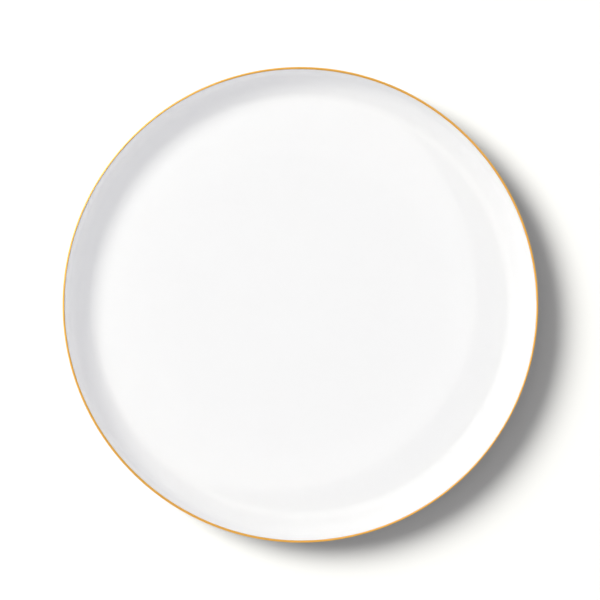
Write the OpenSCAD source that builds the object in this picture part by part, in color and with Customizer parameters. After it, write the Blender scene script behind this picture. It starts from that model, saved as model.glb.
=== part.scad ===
// China dinner plate, coupe shape with a low upright wall and a gilded lip.
// It stands on its foot at z = 0 and the Z axis is its axis of turning.
// Every outline is the finished surface moved along its normal, so that the
// china, the glaze and the gold always share their faces.

/* [Plate] */
// Diameter over the gold lip
plate_d = 270; // [200:1:330]
// Height from the table to the top of the gold lip
plate_h = 22; // [18:0.5:30]

/* [Well] */
// Thickness of the glazed china at the centre of the well
floor_t = 3.5; // [2.9:0.1:5]
// Angle by which the well falls away just before the cove
fall_a = 5; // [1:0.5:6]
// Radius of the gentle fall at the edge of the well
fall_r = 230; // [100:10:250]
// Radius of the cove between the well and the wall
cove_r = 13; // [8:0.5:16]

/* [Wall and lip] */
// Steepness of the inside of the wall, from the horizontal
wall_a = 73; // [55:1:78]
// Thickness of the glazed china where the wall rises from the cove
wall_t = 1.9; // [1.5:0.1:2.5]
// Thickness of the glazed china at the lip
lip_t = 1.0; // [0.8:0.1:1.4]

/* [Foot] */
// Height of the underside above the table
foot_h = 2.8; // [2.2:0.1:4]
// Distance from the outside of the lip in to the outside of the foot ring
foot_inset = 43; // [35:1:60]
// Width of the foot ring
foot_w = 4; // [3:0.1:8]
// Fillet at each root of the foot ring
foot_root_r = 1.2; // [0.5:0.1:1.2]
// Rounding along each edge of the bearing face
foot_edge_r = 0.5; // [0.2:0.1:0.5]
// Height of the ring of bare china above the table
bare_h = 0.6; // [0.5:0.1:0.9]

/* [Glaze and gold] */
// Thickness of the glaze
glaze_t = 0.2; // [0.15:0.01:0.3]
// Thickness of the gold band
gold_t = 0.1; // [0.08:0.01:0.15]
// How far the gold runs down the inside of the wall
gold_in = 0.2; // [0.1:0.1:1]
// How far the gold runs down the outside of the wall
gold_out = 1.1; // [0.3:0.1:1.5]

/* [Backstamp] */
// Diameter of the outer ring
stamp_d = 27; // [22:1:40]
// Width of the line that each ring is drawn with
stamp_line = 0.7; // [0.4:0.1:1]
// Clear space between the two rings
ring_gap = 2.3; // [1:0.1:3]
// Diameter of the bud in the middle
bud_d = 3; // [2:0.5:4]
// Number of petals round the bud
petals = 6; // [4:1:8]
// Width of a petal
petal_w = 2.8; // [2:0.1:3]
// Clear space at each end of a petal
petal_gap = 0.8; // [0.5:0.1:1]
// Thickness of the printed decal
stamp_t = 0.1; // [0.08:0.01:0.15]

/* [Hidden] */

$fn = 180;
cove_steps = 16;
lip_steps = 10;
fall_steps = 5;
foot_steps = 5;

// The round of the lip.
lip_r = lip_t / 2;
lip_z = plate_h - gold_t - lip_r;
lip_x = plate_d / 2 - gold_t - lip_r;

// The well is level in the middle and falls a little on its way to the cove.
floor_z = foot_h + floor_t;
cove_foot_z = floor_z - fall_r * (1 - cos(fall_a));

// The cove is no larger than leaves this much straight wall above it.
least_wall = 3;
cove_room = (lip_z - cove_foot_z - least_wall) / (cos(fall_a) - cos(wall_a));
cove = min(cove_r, cove_room);
cove_z = cove_foot_z + cove * cos(fall_a);

// The inside of the wall is a straight line that touches the cove and the lip.
wall_len = (lip_z - cove_z + (cove + lip_r) * cos(wall_a)) / sin(wall_a);
cove_x = lip_x - wall_len * cos(wall_a) - (cove + lip_r) * sin(wall_a);
fall_x = cove_x - (fall_r + cove) * sin(fall_a);
fall_z = floor_z - fall_r;

// The back of the wall is a straight line that leaves lip_t at the lip and
// wall_t at the top of the cove. back_a is the way that it faces.
taper_a = 90 - atan2(lip_r, wall_len) - acos((wall_t - lip_r) / norm([wall_len, lip_r]));
back_a = wall_a - 90 + taper_a;
back_r = cove + wall_t;
back_z = foot_h + back_r;
back_len = (lip_z - back_z - (back_r - lip_r) * sin(back_a)) / cos(back_a);
back_x = lip_x - (back_r - lip_r) * cos(back_a) + back_len * sin(back_a);

// The foot ring.
foot_x = plate_d / 2 - foot_inset;
foot_in_x = foot_x - foot_w;

// A root fillet ends above the edge of the glaze on the foot.
least_foot_side = 0.2;
root = min(foot_root_r, foot_h - bare_h - least_foot_side);

// The petals fill the space between the bud and the inner ring.
inner_ring_d = stamp_d - 2 * stamp_line - 2 * ring_gap;
petal_len = inner_ring_d / 2 - stamp_line - bud_d / 2 - 2 * petal_gap;
petal_bend_r = (petal_len * petal_len + petal_w * petal_w) / (4 * petal_w);

// Points along a circle of radius r about c, from angle a0 to angle a1.
function arc(c, r, a0, a1, steps) =
    [for (i = [0:steps]) let (a = a0 + (a1 - a0) * i / steps) c + r * [cos(a), sin(a)]];

function backwards(points) = [for (i = [len(points) - 1:-1:0]) points[i]];

function but_first(points) = [for (i = [1:len(points) - 1]) points[i]];

// The inside of the plate from the axis to the lip, moved out by d.
function inside(d) = concat(
    [[0, floor_z + d]],
    arc([fall_x, fall_z], fall_r + d, 90, 90 - fall_a, fall_steps),
    but_first(arc([cove_x, cove_z], cove - d, -90 - fall_a, wall_a - 90, cove_steps)));

// The round of the lip, moved out by d.
function lip(d) = arc([lip_x, lip_z], lip_r + d, 90 + wall_a, back_a, lip_steps);

// The back of the wall down to the root of the foot ring, moved out by d.
function back(d) = concat(
    arc([back_x, back_z], back_r + d, back_a, -90, cove_steps),
    arc([foot_x + root, foot_h - root], root - d, 90, 180, foot_steps));

// The hollow inside the foot ring, from its root to the axis, moved out by d.
function recess(d) = concat(
    arc([foot_in_x - root, foot_h - root], root - d, 0, 90, foot_steps),
    [[0, foot_h - d]]);

// The bearing face of bare china, with a rounding along each edge.
function bearing(inset) = concat(
    arc([foot_x - inset - foot_edge_r, foot_edge_r], foot_edge_r, 0, -90, foot_steps),
    arc([foot_in_x + inset + foot_edge_r, foot_edge_r], foot_edge_r, -90, -180, foot_steps));

// A point along the straight wall, down from the lip by run, moved out by d.
function down_inside(run, d) =
    [lip_x, lip_z] + (lip_r + d) * [cos(90 + wall_a), sin(90 + wall_a)]
    - run * [cos(wall_a), sin(wall_a)];

function down_outside(run, d) =
    [lip_x, lip_z] + (lip_r + d) * [cos(back_a), sin(back_a)]
    + run * [sin(back_a), -cos(back_a)];

module turned(points) {
    rotate_extrude() polygon(points);
}

// The fired china. The foot ring is formed in one piece with it.
module china_body() {
    color("ivory")
        turned(concat(
            inside(-glaze_t),
            lip(-glaze_t),
            back(-glaze_t),
            bearing(glaze_t),
            recess(-glaze_t)));
}

// The glaze over the well, the wall, the lip and the back, down to the bare foot.
module glaze_coat() {
    color("white")
        turned(concat(
            inside(0),
            lip(0),
            back(0),
            [[foot_x, bare_h], [foot_x - glaze_t, bare_h]],
            backwards(back(-glaze_t)),
            backwards(lip(-glaze_t)),
            backwards(inside(-glaze_t))));
}

// The glaze inside the foot ring, cut off from the rest by the bare foot.
module foot_recess_glaze() {
    color("snow")
        turned(concat(
            [[foot_in_x + glaze_t, bare_h], [foot_in_x, bare_h]],
            recess(0),
            backwards(recess(-glaze_t))));
}

// The gold band, fired on over the glaze of the lip.
module gold_lip_band() {
    color("goldenrod")
        turned(concat(
            [down_inside(gold_in, 0), down_inside(gold_in, gold_t)],
            lip(gold_t),
            [down_outside(gold_out, gold_t), down_outside(gold_out, 0)],
            backwards(lip(0))));
}

module ring(d) {
    difference() {
        circle(d = d);
        circle(d = d - 2 * stamp_line);
    }
}

// One petal is what two circles share, so that it comes to a point at each end.
module petal() {
    translate([bud_d / 2 + petal_gap + petal_len / 2, 0])
        intersection() {
            translate([0, petal_bend_r - petal_w / 2]) circle(r = petal_bend_r);
            translate([0, petal_w / 2 - petal_bend_r]) circle(r = petal_bend_r);
        }
}

// A plain printed mark: two rings round a flower.
module backstamp() {
    color("darkgoldenrod")
        translate([0, 0, foot_h - stamp_t])
            linear_extrude(stamp_t) {
                ring(stamp_d);
                ring(inner_ring_d);
                circle(d = bud_d);
                for (i = [0:petals - 1])
                    rotate(i * 360 / petals) petal();
            }
}

china_body();
glaze_coat();
foot_recess_glaze();
gold_lip_band();
backstamp();
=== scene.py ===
import math

import bpy
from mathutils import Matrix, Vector


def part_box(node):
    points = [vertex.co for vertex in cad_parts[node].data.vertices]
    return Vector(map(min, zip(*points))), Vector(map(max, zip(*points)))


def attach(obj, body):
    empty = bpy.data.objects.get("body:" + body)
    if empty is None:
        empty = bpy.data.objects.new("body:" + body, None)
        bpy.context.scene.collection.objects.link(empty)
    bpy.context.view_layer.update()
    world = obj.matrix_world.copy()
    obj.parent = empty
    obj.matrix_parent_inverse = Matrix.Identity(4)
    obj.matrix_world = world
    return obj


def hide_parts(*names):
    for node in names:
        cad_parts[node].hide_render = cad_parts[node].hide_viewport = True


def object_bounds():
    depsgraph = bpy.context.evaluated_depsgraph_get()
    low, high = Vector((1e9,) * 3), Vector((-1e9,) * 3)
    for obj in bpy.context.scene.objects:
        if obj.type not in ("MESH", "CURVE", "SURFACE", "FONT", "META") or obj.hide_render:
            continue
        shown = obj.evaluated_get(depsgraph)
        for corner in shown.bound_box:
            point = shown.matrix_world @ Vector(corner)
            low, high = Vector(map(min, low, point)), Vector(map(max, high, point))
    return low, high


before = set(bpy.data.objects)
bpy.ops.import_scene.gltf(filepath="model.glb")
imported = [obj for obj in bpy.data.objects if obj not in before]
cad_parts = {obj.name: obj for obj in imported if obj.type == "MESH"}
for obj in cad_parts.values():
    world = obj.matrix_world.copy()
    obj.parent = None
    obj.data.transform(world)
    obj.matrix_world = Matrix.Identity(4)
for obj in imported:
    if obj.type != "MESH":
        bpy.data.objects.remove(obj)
cad_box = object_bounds()


# ---- The china body ----
# One solid of white bone china, pressed and turned on a jigger with its foot
# ring, then fired. The glaze hides all of it but the foot's bearing face, which
# is wiped clean before the glaze firing and ground smooth after it.

MM = 0.001

PLATE_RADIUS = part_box("gold_lip_band")[1].x
PLATE_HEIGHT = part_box("gold_lip_band")[1].z
GOLD_THICK = 0.10 * MM
GLAZE_THICK = 0.20 * MM

LIP_ROUND = 0.50 * MM
LIP_X = PLATE_RADIUS - GOLD_THICK - LIP_ROUND
LIP_Z = PLATE_HEIGHT - GOLD_THICK - LIP_ROUND

FOOT_UNDER = 2.8 * MM
FOOT_OUTER_X = 92 * MM
FOOT_INNER_X = 88 * MM
FOOT_ROOT = 1.2 * MM
FOOT_EDGE = 0.5 * MM
GLAZE_EDGE_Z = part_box("glaze_coat")[0].z

WELL_Z = FOOT_UNDER + 3.5 * MM
FALL_ANGLE = 5
FALL_ROUND = 230 * MM
COVE_ROUND = 13 * MM
WALL_ANGLE = 73
WALL_THICK = 1.9 * MM


def sin(degrees):
    return math.sin(math.radians(degrees))


def cos(degrees):
    return math.cos(math.radians(degrees))


# The straight inside of the wall touches the cove below it and the lip above.
COVE_Z = WELL_Z - FALL_ROUND * (1 - cos(FALL_ANGLE)) + COVE_ROUND * cos(FALL_ANGLE)
WALL_RUN = (LIP_Z - COVE_Z + (COVE_ROUND + LIP_ROUND) * cos(WALL_ANGLE)) / sin(WALL_ANGLE)
COVE_X = LIP_X - WALL_RUN * cos(WALL_ANGLE) - (COVE_ROUND + LIP_ROUND) * sin(WALL_ANGLE)
FALL_X = COVE_X - (FALL_ROUND + COVE_ROUND) * sin(FALL_ANGLE)

# The straight back of the wall thickens from the lip down to the cove.
TAPER_ANGLE = 90 - math.degrees(
    math.atan2(LIP_ROUND, WALL_RUN)
    + math.acos((WALL_THICK - LIP_ROUND) / math.hypot(WALL_RUN, LIP_ROUND))
)
BACK_ANGLE = WALL_ANGLE - 90 + TAPER_ANGLE
BACK_ROUND = COVE_ROUND + WALL_THICK
BACK_Z = FOOT_UNDER + BACK_ROUND
BACK_RUN = (LIP_Z - BACK_Z - (BACK_ROUND - LIP_ROUND) * sin(BACK_ANGLE)) / cos(BACK_ANGLE)
BACK_X = LIP_X - (BACK_ROUND - LIP_ROUND) * cos(BACK_ANGLE) + BACK_RUN * sin(BACK_ANGLE)


def arc(x, z, radius, start, end, steps):
    """Points (x, z) along a circle, from one angle to another in degrees."""
    angles = [start + (end - start) * i / steps for i in range(steps + 1)]
    return [(x + radius * cos(a), z + radius * sin(a)) for a in angles]


def level(start, end, z, steps):
    """Points along a level line, which keep the mesh's rings close together."""
    return [(start + (end - start) * i / steps, z) for i in range(steps)]


def upper_face(raised):
    """The well, its gentle fall and the cove, from the axis out to the wall."""
    well = level(0, FALL_X, WELL_Z + raised, 14)
    fall = arc(FALL_X, WELL_Z - FALL_ROUND, FALL_ROUND + raised, 90, 90 - FALL_ANGLE, 8)
    cove = arc(COVE_X, COVE_Z, COVE_ROUND - raised, -90 - FALL_ANGLE, WALL_ANGLE - 90, 26)
    return well + fall + cove[1:]


def lip(raised):
    """The half round of the lip, from the inside of the wall to its back."""
    return arc(LIP_X, LIP_Z, LIP_ROUND + raised, 90 + WALL_ANGLE, BACK_ANGLE, 14)


def back_face(raised):
    """The back of the wall, the underside and the outer root of the foot."""
    wall = arc(BACK_X, BACK_Z, BACK_ROUND + raised, BACK_ANGLE, -90, 28)
    under = level(BACK_X, FOOT_OUTER_X + FOOT_ROOT, FOOT_UNDER - raised, 5)
    root = arc(FOOT_OUTER_X + FOOT_ROOT, FOOT_UNDER - FOOT_ROOT, FOOT_ROOT - raised, 90, 180, 8)
    return wall + under[1:] + root


def foot_recess(raised):
    """The inner root of the foot and the underside within it, in to the axis."""
    root = arc(FOOT_INNER_X - FOOT_ROOT, FOOT_UNDER - FOOT_ROOT, FOOT_ROOT - raised, 0, 90, 8)
    under = level(FOOT_INNER_X - FOOT_ROOT, 0, FOOT_UNDER - raised, 14)
    return root + under[1:] + [(0, FOOT_UNDER - raised)]


def bearing_face():
    """The face that the plate stands on, with a rounding along each edge."""
    outer_x = FOOT_OUTER_X - GLAZE_THICK - FOOT_EDGE
    inner_x = FOOT_INNER_X + GLAZE_THICK + FOOT_EDGE
    outer = arc(outer_x, FOOT_EDGE, FOOT_EDGE, 0, -90, 6)
    inner = arc(inner_x, FOOT_EDGE, FOOT_EDGE, -90, -180, 6)
    return outer + inner


class Socket:
    """A node's output, which adds Math nodes when an expression uses it."""

    def __init__(self, nodes, output):
        self.nodes = nodes
        self.output = output

    def named(self, name):
        """Another output of the same node."""
        return Socket(self.nodes, self.output.node.outputs[name])

    def maths(self, operation, *others):
        """A Math node on this value first and then the others."""
        values = dict(enumerate((self,) + others))
        return self.nodes.add("ShaderNodeMath", {"operation": operation}, values)

    def maths_after(self, operation, first):
        """A Math node on first and then this value."""
        return self.nodes.add("ShaderNodeMath", {"operation": operation}, {0: first, 1: self})

    def __add__(self, other):
        return self.maths("ADD", other)

    def __radd__(self, other):
        return self.maths_after("ADD", other)

    def __sub__(self, other):
        return self.maths("SUBTRACT", other)

    def __rsub__(self, other):
        return self.maths_after("SUBTRACT", other)

    def __mul__(self, other):
        return self.maths("MULTIPLY", other)

    def __rmul__(self, other):
        return self.maths_after("MULTIPLY", other)

    def __truediv__(self, other):
        return self.maths("DIVIDE", other)


class Nodes:
    """The nodes of one material or one geometry tree."""

    def __init__(self, tree):
        self.tree = tree

    def add(self, kind, settings=None, sockets=None):
        """A new node with its settings made first. Gives its first output in use."""
        node = self.tree.nodes.new(kind)
        for name, value in (settings or {}).items():
            setattr(node, name, value)
        for name, value in (sockets or {}).items():
            if isinstance(value, Socket):
                self.tree.links.new(value.output, node.inputs[name])
            else:
                node.inputs[name].default_value = value
        outputs = [o for o in node.outputs if o.enabled]
        return Socket(self, outputs[0]) if outputs else None

    def between(self, value, low, high, to_low=0.0, to_high=1.0):
        """value taken smoothly from low..high to to_low..to_high."""
        return self.add(
            "ShaderNodeMapRange",
            {"interpolation_type": "SMOOTHSTEP"},
            {"Value": value, 1: low, 2: high, 3: to_low, 4: to_high},
        )


class GeometryTree(Nodes):
    """A geometry tree with named inputs, which runs once on an outline."""

    def __init__(self, name, inputs):
        super().__init__(bpy.data.node_groups.new(name, "GeometryNodeTree"))
        face = self.tree.interface
        face.new_socket("Geometry", in_out="INPUT", socket_type="NodeSocketGeometry")
        for label, kind in inputs.items():
            face.new_socket(label, in_out="INPUT", socket_type="NodeSocket" + kind)
        face.new_socket("Geometry", in_out="OUTPUT", socket_type="NodeSocketGeometry")
        self.inputs = self.add("NodeGroupInput")

    def sheet(self, around, rows):
        """A grid to be turned, the row of each point and the angle of its column."""
        sizes = {"Vertices X": around + 1, "Vertices Y": rows}
        grid = self.add("GeometryNodeMeshGrid", {}, sizes)
        number = self.add("GeometryNodeInputIndex")
        column = (number / rows).maths("FLOOR")
        return grid, number - column * rows, column * math.tau / around

    def end(self, geometry, material):
        """Closes the tree with its instances made real and their material set."""
        real = self.add("GeometryNodeRealizeInstances", {}, {"Geometry": geometry})
        done = self.add("GeometryNodeSetMaterial", {}, {"Geometry": real, "Material": material})
        self.add("NodeGroupOutput", {}, {"Geometry": done})

    def run(self, name, outline, values):
        """A plain mesh object, made by the tree from an outline of (x, z) points."""
        mesh = bpy.data.meshes.new(name + "_outline")
        steps = [(i, i + 1) for i in range(len(outline) - 1)]
        mesh.from_pydata([(x, 0, z) for x, z in outline], steps, [])
        source = bpy.data.objects.new(name + "_outline", mesh)
        bpy.context.scene.collection.objects.link(source)
        modifier = source.modifiers.new(name, "NODES")
        modifier.node_group = self.tree
        for item in self.tree.interface.items_tree:
            if item.in_out == "INPUT" and item.name in values:
                modifier[item.identifier] = values[item.name]
        evaluated = source.evaluated_get(bpy.context.evaluated_depsgraph_get())
        piece = bpy.data.objects.new(name, bpy.data.meshes.new_from_object(evaluated))
        piece.data.materials.pop(index=0)
        bpy.data.objects.remove(source)
        bpy.context.scene.collection.objects.link(piece)
        return piece


# The wheel turns an outline once round the axis. Rows of a grid take the
# outline's points, columns take the angle, and merging closes seam and poles.
TURNS = 400
CREASE = math.radians(35)

wheel = GeometryTree("Turning wheel", {"Around": "Int", "Crease": "Float", "Finish": "Material"})
outline = wheel.inputs.named("Geometry")
rows = wheel.add("GeometryNodeAttributeDomainSize", {}, {"Geometry": outline})
grid, row, angle = wheel.sheet(wheel.inputs.named("Around"), rows)
place = wheel.add(
    "GeometryNodeSampleIndex",
    {"data_type": "FLOAT_VECTOR"},
    {"Geometry": outline, "Value": wheel.add("GeometryNodeInputPosition"), "Index": row},
)
section = wheel.add("ShaderNodeSeparateXYZ", {}, {"Vector": place})
turned_place = wheel.add(
    "ShaderNodeCombineXYZ",
    {},
    {
        "X": section * angle.maths("COSINE"),
        "Y": section * angle.maths("SINE"),
        "Z": section.named("Z"),
    },
)
swept = wheel.add("GeometryNodeSetPosition", {}, {"Geometry": grid, "Position": turned_place})
merged = wheel.add("GeometryNodeMergeByDistance", {}, {"Geometry": swept, "Distance": 1e-6})
faces_on_edge = wheel.add("GeometryNodeInputMeshEdgeNeighbors")
bare_edge = wheel.add("FunctionNodeCompare", {"operation": "LESS_THAN"}, {0: faces_on_edge, 1: 1.0})
closed = wheel.add(
    "GeometryNodeDeleteGeometry", {"domain": "EDGE"}, {"Geometry": merged, "Selection": bare_edge}
)
outward = wheel.add("GeometryNodeFlipFaces", {}, {"Mesh": closed})
bend = wheel.add("GeometryNodeInputMeshEdgeAngle")
gentle = wheel.add(
    "FunctionNodeCompare",
    {"operation": "LESS_THAN"},
    {0: bend, 1: wheel.inputs.named("Crease")},
)
smooth = wheel.add("GeometryNodeSetShadeSmooth", {"domain": "FACE"}, {"Geometry": outward})
shaded = wheel.add(
    "GeometryNodeSetShadeSmooth", {"domain": "EDGE"}, {"Geometry": smooth, "Shade Smooth": gentle}
)
wheel.end(shaded, wheel.inputs.named("Finish"))


def turned(name, outline_points, finish):
    """A piece turned on the wheel."""
    sizes = {"Around": TURNS, "Crease": CREASE, "Finish": finish}
    return wheel.run(name, outline_points, sizes)


class Finish(Nodes):
    """A material with one Principled shader, whose patterns lie in the piece."""

    def __init__(self, name, **fixed):
        self.material = bpy.data.materials.new(name)
        self.material.use_nodes = True
        super().__init__(self.material.node_tree)
        self.tree.nodes.clear()
        self.place = self.add("ShaderNodeTexCoord").named("Object")
        spread = self.add("ShaderNodeSeparateXYZ", {}, {"Vector": self.place})
        self.x, self.y, self.z = (spread.named(axis) for axis in "XYZ")
        self.radius = (self.x * self.x + self.y * self.y).maths("SQRT")
        self.fixed = {label.replace("_", " "): value for label, value in fixed.items()}

    def noise(self, size, detail=2.0, at=None):
        """Smooth noise from 0 to 1, whose blotches are about size across."""
        sockets = {"Vector": at or self.place, "Scale": 1 / size, "Detail": detail}
        return self.add("ShaderNodeTexNoise", {}, sockets)

    def mix(self, share, first, second):
        """A colour that goes from first to second as share goes from 0 to 1."""
        colours = {"Factor": share, 6: first, 7: second}
        node = self.add("ShaderNodeMix", {"data_type": "RGBA"}, colours)
        return node.named(2)

    def end(self, **varying):
        """Closes the material with what changes over the surface."""
        sockets = {label.replace("_", " "): value for label, value in varying.items()}
        shader = self.add("ShaderNodeBsdfPrincipled", {}, {**self.fixed, **sockets})
        self.add("ShaderNodeOutputMaterial", {}, {"Surface": shader})
        return self.material

    def bump(self, height, depth):
        """A normal from a height of 0 to 1 that stands for depth metres."""
        return self.add(
            "ShaderNodeBump", {}, {"Height": height, "Distance": depth, "Strength": 1.0}
        )


# Bare china is chalky and a little warm. The bearing face has fine rings from
# the grinding wheel, and it has picked up grey where it slides on the shelf.
WORN_UP_TO = 0.12 * MM
bare = Finish("chalky_ground_china", Subsurface_Weight=0.2, Subsurface_Scale=2 * MM)
grain = bare.noise(0.35 * MM, detail=4.0)
rings_at = bare.add("ShaderNodeCombineXYZ", {}, {"X": bare.radius * 40, "Y": bare.z * 6})
grinding = bare.noise(4.0 * MM, detail=3.0, at=rings_at)
touched = bare.between(bare.z, 0.0, WORN_UP_TO, 1.0, 0.0)
blotch = bare.noise(9 * MM, detail=3.0)
chalk = bare.mix(grain, (0.84, 0.81, 0.76, 1), (0.89, 0.87, 0.83, 1))
worn = bare.mix(touched * bare.between(blotch, 0.40, 0.75) * 0.5, chalk, (0.42, 0.41, 0.40, 1))
bare_china = bare.end(
    Base_Color=worn,
    Roughness=0.62 + 0.2 * grain - 0.2 * touched,
    Normal=bare.bump(grain * 0.6 + grinding * 0.4, 0.03 * MM),
)

china = turned(
    "bone_china_body",
    upper_face(-GLAZE_THICK)
    + lip(-GLAZE_THICK)
    + back_face(-GLAZE_THICK)
    + bearing_face()
    + foot_recess(-GLAZE_THICK),
    bare_china,
)
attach(china, "root")
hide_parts("china_body")


# ---- The glaze coat ----
# Clear glaze, dipped on and fired into the china over the well, the wall, the
# lip and the back, down to the wiped foot. Light sinks through it into the
# bone china and comes out again, so the piece is closed through the body.

SPECK_SIZE = 0.45 * MM
SPECK_SPACING = 24 * MM
POOL_FROM = (100 * MM, 112 * MM)
POOL_TO = (118 * MM, 127 * MM)
THIN_AT_LIP = (20.2 * MM, 21.4 * MM)
RIPPLE = 0.006 * MM


def porcelain(name, **fixed):
    """Glazed bone china: white, wet and gently uneven, with rare pin specks."""
    glazed = Finish(name, IOR=1.52, **fixed)
    clouds = glazed.noise(38 * MM, detail=3.0)
    pool_edge = glazed.between(glazed.radius, *POOL_TO, 1.0, 0.0)
    pooled = glazed.between(glazed.radius, *POOL_FROM) * pool_edge
    thin = glazed.between(glazed.z, *THIN_AT_LIP)
    white = glazed.mix(clouds, (0.945, 0.945, 0.94, 1), (0.962, 0.962, 0.96, 1))
    creamy = glazed.mix(thin * 0.35, white, (0.955, 0.935, 0.905, 1))
    cool = glazed.mix(pooled * 0.5, creamy, (0.935, 0.945, 0.952, 1))
    cells = glazed.add(
        "ShaderNodeTexVoronoi", {}, {"Vector": glazed.place, "Scale": 1 / SPECK_SPACING}
    )
    speck = glazed.between(cells * SPECK_SPACING, SPECK_SIZE * 0.5, SPECK_SIZE, 1.0, 0.0)
    chance = glazed.add("ShaderNodeSeparateColor", {}, {"Color": cells.named("Color")})
    rare = glazed.between(chance, 0.86, 0.88)
    ripple = glazed.noise(7 * MM, detail=1.5)
    sheen = glazed.noise(16 * MM, detail=4.0)
    return glazed.end(
        Base_Color=glazed.mix(speck * rare * 0.35, cool, (0.52, 0.45, 0.36, 1)),
        Roughness=0.045 + 0.03 * sheen,
        Normal=glazed.bump(ripple, RIPPLE),
    )


deep_glaze = porcelain(
    "glazed_china",
    Subsurface_Weight=1.0,
    Subsurface_Radius=(1.0, 1.0, 1.0),
    Subsurface_Scale=3 * MM,
)

glaze = turned(
    "clear_glaze_coat",
    upper_face(0)
    + lip(0)
    + back_face(0)
    + [(FOOT_OUTER_X, GLAZE_EDGE_Z), (FOOT_OUTER_X - GLAZE_THICK, GLAZE_EDGE_Z)]
    + [(FOOT_INNER_X + GLAZE_THICK, GLAZE_EDGE_Z)]
    + foot_recess(-GLAZE_THICK),
    deep_glaze,
)
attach(glaze, "root")
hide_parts("glaze_coat")


# ---- The glaze in the foot recess ----
# The same glaze pools in a thin disc within the foot ring, and the bare bearing
# face keeps it apart from the rest. The mark is printed on it.

recess = turned(
    "foot_recess_glaze_disc",
    [(FOOT_INNER_X + GLAZE_THICK, GLAZE_EDGE_Z), (FOOT_INNER_X, GLAZE_EDGE_Z)]
    + foot_recess(0)
    + foot_recess(-GLAZE_THICK)[::-1]
    + [(FOOT_INNER_X + GLAZE_THICK, GLAZE_EDGE_Z)],
    porcelain("recess_glaze"),
)
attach(recess, "root")
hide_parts("foot_recess_glaze")


# ---- The gold lip band ----
# Bright gold, drawn round the lip with a brush while the plate turns on a
# banding wheel, then fired on and burnished. It thins out at both edges, which
# wander with the brush, and it laps further down the inside at two places.

GOLD_DOWN_INSIDE = 0.2 * MM
GOLD_DOWN_OUTSIDE = 1.1 * MM
SPARE = 1.2 * MM
GOLD_SINK = 0.02 * MM


def down_wall(angle_faced, side, run):
    """A point on the straight wall, down from the lip by run."""
    x = LIP_X + LIP_ROUND * cos(angle_faced) - side * run * sin(angle_faced)
    z = LIP_Z + LIP_ROUND * sin(angle_faced) + side * run * cos(angle_faced)
    return (x, z)


band_outline = (
    [down_wall(90 + WALL_ANGLE, 1, GOLD_DOWN_INSIDE + SPARE)]
    + arc(LIP_X, LIP_Z, LIP_ROUND, 90 + WALL_ANGLE, BACK_ANGLE, 24)
    + [down_wall(BACK_ANGLE, -1, GOLD_DOWN_OUTSIDE + SPARE)]
)

banding = GeometryTree(
    "Banding wheel",
    {
        "Around": "Int",
        "Across": "Int",
        "Thickness": "Float",
        "Sink": "Float",
        "Spare": "Float",
        "Inner wander": "Float",
        "Outer wander": "Float",
        "Lap": "Float",
        "Lap turn": "Float",
        "Seed": "Float",
        "Finish": "Material",
    },
)
path = banding.add("GeometryNodeMeshToCurve", {}, {"Mesh": banding.inputs.named("Geometry")})
path_length = banding.add("GeometryNodeCurveLength", {}, {"Curve": path})
rows = banding.inputs.named("Across") * 2 + 1
grid, row, angle = banding.sheet(banding.inputs.named("Around"), rows)
turn_x = angle.maths("COSINE")
turn_y = angle.maths("SINE")

# The rows run out over the band and back under it.
over = row / banding.inputs.named("Across")
across = 1 - (over - 1).maths("ABSOLUTE")
outside = over.maths("LESS_THAN", 1.0)
edge_gap = across.maths("MINIMUM", 1 - across)
full = banding.between(edge_gap, 0.0, 0.12)
lift = banding.inputs.named("Thickness") + banding.inputs.named("Sink")
raised = (outside * lift - banding.inputs.named("Sink")) * full


def wander(amount, offset):
    """How far an edge strays from its line, the same after a whole turn."""
    at = banding.add("ShaderNodeCombineXYZ", {}, {"X": turn_x, "Y": turn_y, "Z": offset})
    stray = banding.add(
        "ShaderNodeTexNoise",
        {"noise_dimensions": "4D"},
        {"Vector": at, "W": banding.inputs.named("Seed"), "Scale": 3.5, "Detail": 3.0},
    )
    return (stray - 0.5) * amount


laps = (angle * 2 - banding.inputs.named("Lap turn")).maths("COSINE")
lap = banding.inputs.named("Lap") * (laps + 0.1)
start = banding.inputs.named("Spare") + wander(banding.inputs.named("Inner wander"), 0.0) - lap
finish = path_length - banding.inputs.named("Spare")
finish = finish + wander(banding.inputs.named("Outer wander"), 7.0)
along = banding.add(
    "GeometryNodeSampleCurve",
    {"mode": "LENGTH", "use_all_curves": True},
    {"Curves": path, "Length": start + across * (finish - start)},
)
point = banding.add("ShaderNodeSeparateXYZ", {}, {"Vector": along.named("Position")})
tangent = banding.add("ShaderNodeSeparateXYZ", {}, {"Vector": along.named("Tangent")})
reach = point - raised * tangent.named("Z")
drawn_place = banding.add(
    "ShaderNodeCombineXYZ",
    {},
    {
        "X": reach * turn_x,
        "Y": reach * turn_y,
        "Z": point.named("Z") + raised * tangent,
    },
)
drawn = banding.add("GeometryNodeSetPosition", {}, {"Geometry": grid, "Position": drawn_place})
joined = banding.add("GeometryNodeMergeByDistance", {}, {"Geometry": drawn, "Distance": 1e-7})
outward = banding.add("GeometryNodeFlipFaces", {}, {"Mesh": joined})
smooth = banding.add("GeometryNodeSetShadeSmooth", {"domain": "FACE"}, {"Geometry": outward})
banding.end(smooth, banding.inputs.named("Finish"))

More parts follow.
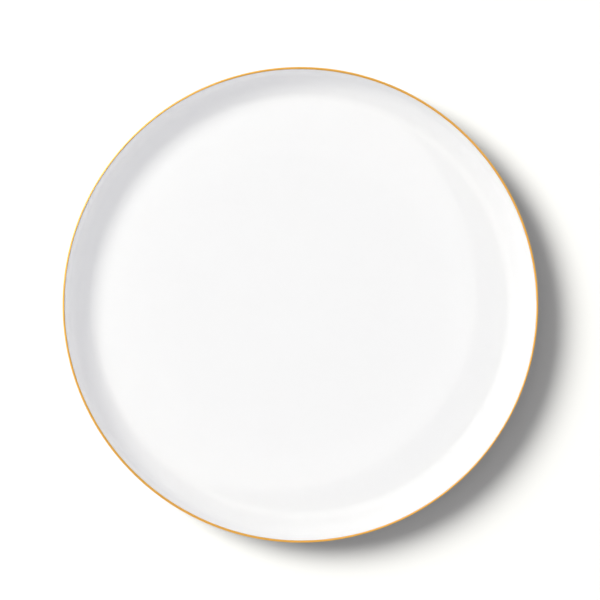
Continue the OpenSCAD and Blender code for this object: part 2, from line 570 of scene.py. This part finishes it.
# Brush lines run round the lip, so the pattern is long in the angle and fine
# across the band. Along the lines the gold is paler and a little duller, partly where it lies thin
# and partly as a painted highlight.
gold = Finish("burnished_gold", Metallic=1.0)
BRUSH_LINES = 9000
brush_at = gold.add(
    "ShaderNodeCombineXYZ",
    {},
    {
        "X": gold.x * (1 / PLATE_RADIUS),
        "Y": gold.y * (1 / PLATE_RADIUS),
        "Z": (gold.radius + gold.z) * BRUSH_LINES,
    },
)
brush_and_highlight = gold.noise(0.16, detail=3.0, at=brush_at)
patches = gold.noise(26 * MM, detail=2.0)
rich = gold.mix(patches, (0.94, 0.49, 0.085, 1), (0.96, 0.53, 0.11, 1))
burnished_gold = gold.end(
    # Paler gold along the brush lines: partly thin gold, partly a painted highlight.
    Base_Color=gold.mix(gold.between(brush_and_highlight, 0.45, 0.8) * 0.3, rich, (1.0, 0.60, 0.18, 1)),
    Roughness=0.38 + 0.14 * brush_and_highlight + 0.06 * patches,
    Normal=gold.bump(brush_and_highlight, 0.004 * MM),
)

band = banding.run(
    "gold_lip_band_brushed",
    band_outline,
    {
        "Around": 900,
        "Across": 16,
        "Thickness": GOLD_THICK,
        "Sink": GOLD_SINK,
        "Spare": SPARE,
        "Inner wander": 0.22 * MM,
        "Outer wander": 0.40 * MM,
        "Lap": 0.60 * MM,
        "Lap turn": math.radians(2 * 57),
        "Seed": 4.0,
        "Finish": burnished_gold,
    },
)
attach(band, "root")
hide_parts("gold_lip_band")


# ---- The backstamp ----
# A plain mark of two rings round a six petalled flower, printed as a decal and
# fired on under the plate. It carries no words.

STAMP_THICK = 0.1 * MM
STAMP_LINE = 0.7 * MM
OUTER_RING = 27 * MM
INNER_RING = 21 * MM
BUD = 3 * MM
PETAL_GAP = 0.8 * MM
PETAL_WIDE = 2.8 * MM
PETAL_LONG = INNER_RING / 2 - STAMP_LINE - BUD / 2 - 2 * PETAL_GAP
PETAL_BEND = (PETAL_LONG**2 + PETAL_WIDE**2) / (4 * PETAL_WIDE)
PETAL_SPAN = math.degrees(math.asin(PETAL_LONG / 2 / PETAL_BEND))

stamping = GeometryTree(
    "Flower mark",
    {
        "Outer ring": "Float",
        "Inner ring": "Float",
        "Line": "Float",
        "Bud": "Float",
        "Petals": "Int",
        "Thickness": "Float",
        "Height": "Float",
        "Finish": "Material",
    },
)
line = stamping.inputs.named("Line")
thick = stamping.inputs.named("Thickness")
stroke = stamping.add(
    "GeometryNodeCurvePrimitiveQuadrilateral", {}, {"Width": line, "Height": thick}
)
shapes = []
for ring_name in ("Outer ring", "Inner ring"):
    middle = (stamping.inputs.named(ring_name) - line) / 2
    circle = stamping.add(
        "GeometryNodeCurvePrimitiveCircle", {}, {"Resolution": 120, "Radius": middle}
    )
    shapes.append(
        stamping.add("GeometryNodeCurveToMesh", {}, {"Curve": circle, "Profile Curve": stroke})
    )
shapes.append(
    stamping.add(
        "GeometryNodeMeshCylinder",
        {},
        {"Vertices": 48, "Radius": stamping.inputs.named("Bud") / 2, "Depth": thick},
    )
)
laid_flat = stamping.add(
    "GeometryNodeTransform",
    {},
    {"Geometry": stamping.inputs.named("Geometry"), "Rotation": (math.radians(90), 0, 0)},
)
petal_loop = stamping.add(
    "GeometryNodeMergeByDistance", {}, {"Geometry": laid_flat, "Distance": 1e-6}
)
petal_edge = stamping.add("GeometryNodeMeshToCurve", {}, {"Mesh": petal_loop})
petal_face = stamping.add("GeometryNodeFillCurve", {"mode": "NGONS"}, {"Curve": petal_edge})
petal_drop = stamping.add("ShaderNodeCombineXYZ", {}, {"Z": thick / -2})
petal_base = stamping.add(
    "GeometryNodeSetPosition", {}, {"Geometry": petal_face, "Offset": petal_drop}
)
petal_lift = stamping.add("ShaderNodeCombineXYZ", {}, {"Z": thick})
petal_top = stamping.add(
    "GeometryNodeExtrudeMesh",
    {},
    {"Mesh": petal_base, "Offset": petal_lift, "Offset Scale": 1.0, "Individual": False},
)
petal_under = stamping.add("GeometryNodeFlipFaces", {}, {"Mesh": petal_base})
petal_sides = stamping.add("GeometryNodeJoinGeometry")
stamping.tree.links.new(petal_top.output, petal_sides.output.node.inputs[0])
stamping.tree.links.new(petal_under.output, petal_sides.output.node.inputs[0])
petal = stamping.add(
    "GeometryNodeMergeByDistance", {}, {"Geometry": petal_sides, "Distance": 1e-7}
)
petals = stamping.inputs.named("Petals")
spots = stamping.add("GeometryNodePoints", {}, {"Count": petals})
turn = stamping.add(
    "ShaderNodeCombineXYZ",
    {},
    {"Z": stamping.add("GeometryNodeInputIndex") * math.tau / petals},
)
shapes.append(
    stamping.add(
        "GeometryNodeInstanceOnPoints", {}, {"Points": spots, "Instance": petal, "Rotation": turn}
    )
)
mark = stamping.add("GeometryNodeJoinGeometry")
for shape in shapes:
    stamping.tree.links.new(shape.output, mark.output.node.inputs[0])
mark_height = stamping.add("ShaderNodeCombineXYZ", {}, {"Z": stamping.inputs.named("Height")})
placed_mark = stamping.add(
    "GeometryNodeTransform", {}, {"Geometry": mark, "Translation": mark_height}
)
crisp = stamping.add(
    "GeometryNodeSetShadeSmooth", {}, {"Geometry": placed_mark, "Shade Smooth": False}
)
stamping.end(crisp, stamping.inputs.named("Finish"))

petal_middle = BUD / 2 + PETAL_GAP + PETAL_LONG / 2
petal_offset = PETAL_BEND - PETAL_WIDE / 2
petal_outline = arc(
    petal_middle, -petal_offset, PETAL_BEND, 90 + PETAL_SPAN, 90 - PETAL_SPAN, 12
) + arc(petal_middle, petal_offset, PETAL_BEND, -90 + PETAL_SPAN, -90 - PETAL_SPAN, 12)

# Gold ink through a fine screen is thinner in places and never quite bright.
ink = Finish("printed_gold", Metallic=0.85)
screen = ink.noise(0.5 * MM, detail=3.0)
load = ink.noise(6 * MM, detail=2.0)
printed_gold = ink.end(
    Base_Color=ink.mix(screen * 0.6 + load * 0.3, (0.52, 0.33, 0.10, 1), (0.72, 0.49, 0.19, 1)),
    Roughness=0.36 + 0.2 * screen,
    Normal=ink.bump(screen, 0.01 * MM),
)
stamp = stamping.run(
    "printed_flower_mark",
    petal_outline,
    {
        "Outer ring": OUTER_RING,
        "Inner ring": INNER_RING,
        "Line": STAMP_LINE,
        "Bud": BUD,
        "Petals": 6,
        "Thickness": STAMP_THICK,
        "Height": FOOT_UNDER - STAMP_THICK / 2,
        "Finish": printed_gold,
    },
)
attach(stamp, "root")
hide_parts("backstamp")


# ---- The table, the lights and the camera ----
# A plain matt table in a white room. A soft lamp stands high at the upper left
# with a wide panel overhead, and a second lamp beside the first lights only the
# table. The camera looks straight down on the plate.

table = Finish("pale_table")
tooth = table.noise(2.5 * MM, detail=3.0)
pale_table = table.end(
    Base_Color=table.mix(table.noise(0.35), (0.418, 0.416, 0.402, 1), (0.424, 0.422, 0.408, 1)),
    Roughness=0.85 + 0.1 * tooth,
)
table_mesh = bpy.data.meshes.new("table_top")
TABLE_REACH = 15
corners = [(-1, -1), (1, -1), (1, 1), (-1, 1)]
table_mesh.from_pydata(
    [(x * TABLE_REACH, y * TABLE_REACH, cad_box[0][2]) for x, y in corners], [], [(0, 1, 2, 3)]
)
table_mesh.materials.append(pale_table)
table_top = bpy.data.objects.new("table_top", table_mesh)
bpy.context.scene.collection.objects.link(table_top)

# The room is paler low down, so that the low views have a light backdrop.
ROOM_COLOUR = (0.93, 0.93, 1.0, 1)
ROOM_LOW = 0.85
ROOM_HIGH = 0.545
LOW_UP_TO = 0.11

scene = bpy.context.scene
room = bpy.data.worlds.new("white_room")
room.use_nodes = True
walls = Nodes(room.node_tree)
walls.tree.nodes.clear()
direction = walls.add("ShaderNodeTexCoord").named("Generated")
height = walls.add("ShaderNodeSeparateXYZ", {}, {"Vector": direction}).named("Z")
strength = walls.between(height, 0.0, LOW_UP_TO, ROOM_LOW, ROOM_HIGH)
white_wall = walls.add("ShaderNodeBackground", {}, {"Color": ROOM_COLOUR, "Strength": strength})
walls.add("ShaderNodeOutputWorld", {}, {"Surface": white_wall})
scene.world = room

LAMP_COLOUR = (1.0, 0.997, 0.93)
LAMP_AZIMUTH = 150
KEY_ELEVATION = 42
OVERHEAD_ELEVATION = 74


def towards(azimuth, elevation):
    """The direction from the plate to a lamp."""
    level_part = cos(elevation)
    return Vector((cos(azimuth) * level_part, sin(azimuth) * level_part, sin(elevation)))


def soft_lamp(name, azimuth, elevation, distance, size, brightness):
    """A round softbox that faces the plate. On its own it lights white to brightness."""
    lamp = bpy.data.lights.new(name, "AREA")
    lamp.shape = "DISK"
    lamp.size = size
    lamp.energy = brightness * (math.pi * distance) ** 2 / sin(elevation)
    lamp.color = LAMP_COLOUR
    stand = bpy.data.objects.new(name, lamp)
    way = towards(azimuth, elevation)
    stand.location = way * distance
    stand.rotation_euler = way.to_track_quat("Z", "Y").to_euler()
    stand.visible_camera = False
    scene.collection.objects.link(stand)


soft_lamp("key_lamp", LAMP_AZIMUTH, KEY_ELEVATION, distance=5, size=1.95, brightness=0.39)
soft_lamp("overhead_panel", LAMP_AZIMUTH, OVERHEAD_ELEVATION, distance=6, size=5.1, brightness=0.175)

TABLE_LIGHT = 1.45
TABLE_LAMP_ELEVATION = 41
TABLE_LAMP_SPREAD = 31
table_lamp = bpy.data.lights.new("table_lamp", "SUN")
table_lamp.angle = math.radians(TABLE_LAMP_SPREAD)
table_lamp.energy = TABLE_LIGHT * math.pi / sin(KEY_ELEVATION)
table_stand = bpy.data.objects.new("table_lamp", table_lamp)
table_lamp_way = towards(LAMP_AZIMUTH, TABLE_LAMP_ELEVATION)
table_stand.rotation_euler = table_lamp_way.to_track_quat("Z", "Y").to_euler()
scene.collection.objects.link(table_stand)
table_only = bpy.data.collections.new("table_only")
table_only.objects.link(table_top)
table_stand.light_linking.receiver_collection = table_only

CAMERA_X = -0.227 * MM
CAMERA_Y = 2.723 * MM
VIEW_WIDTH = 0.34034
VIEW_DISTANCE = 1.1
SENSOR = 36
camera_data = bpy.data.cameras.new("straight_down")
camera_data.sensor_width = SENSOR
camera_data.lens = SENSOR * VIEW_DISTANCE / VIEW_WIDTH
camera = bpy.data.objects.new("straight_down", camera_data)
camera.location = (CAMERA_X, CAMERA_Y, VIEW_DISTANCE + PLATE_HEIGHT)
scene.collection.objects.link(camera)
scene.camera = camera
scene.view_settings.view_transform = "Standard"
